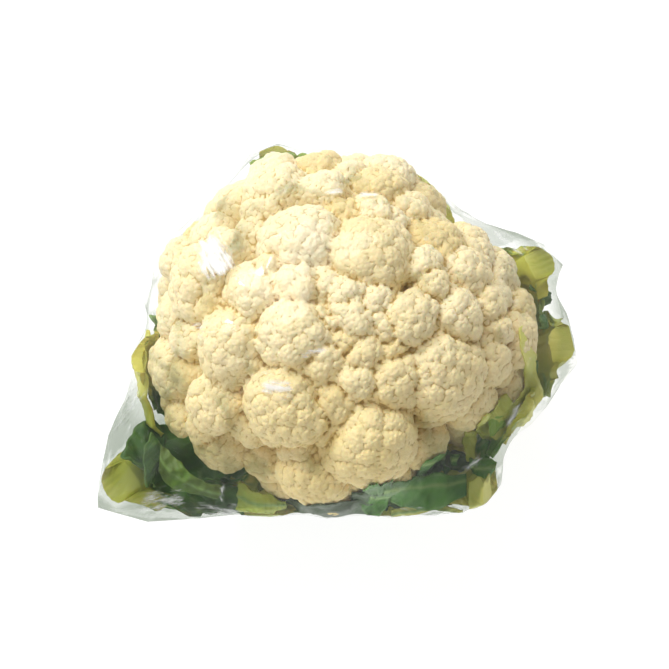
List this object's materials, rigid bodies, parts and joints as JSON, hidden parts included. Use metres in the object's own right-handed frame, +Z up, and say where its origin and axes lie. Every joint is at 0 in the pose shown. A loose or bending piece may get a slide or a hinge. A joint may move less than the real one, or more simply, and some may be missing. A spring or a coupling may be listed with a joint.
{
  "type": "cauliflower",
  "caption": "Head of cauliflower with a white curd of packed florets, trimmed green leaves and a flat-cut stem, in a clear film wrap.",
  "frame": {"origin": "middle of the stem's flat cut face, which the head stands on", "axes": "+Z up along the stem to the crown of the curd, +X to the right and -Y towards the side that the picture shows lowest"},
  "size_m": [0.2066, 0.1672, 0.1331],
  "materials": {
    "curd": "matte, granular",
    "stem": "moist cut flesh",
    "leaf": "waxy",
    "film": "clear, glossy"
  },
  "bodies": {
    "root": {"curd": "curd", "stem": "stem", "leaf_right": "leaf", "leaf_back": "leaf", "leaf_upper_left": "leaf", "leaf_lower_left": "leaf", "leaf_front_right": "leaf", "leaf_upper_right": "leaf", "leaf_back_right": "leaf", "leaf_left": "leaf", "leaf_front": "leaf", "leaf_lower_right": "leaf", "leaf_right_inner": "leaf", "film_wrap": "film"}
  },
  "joints": []
}
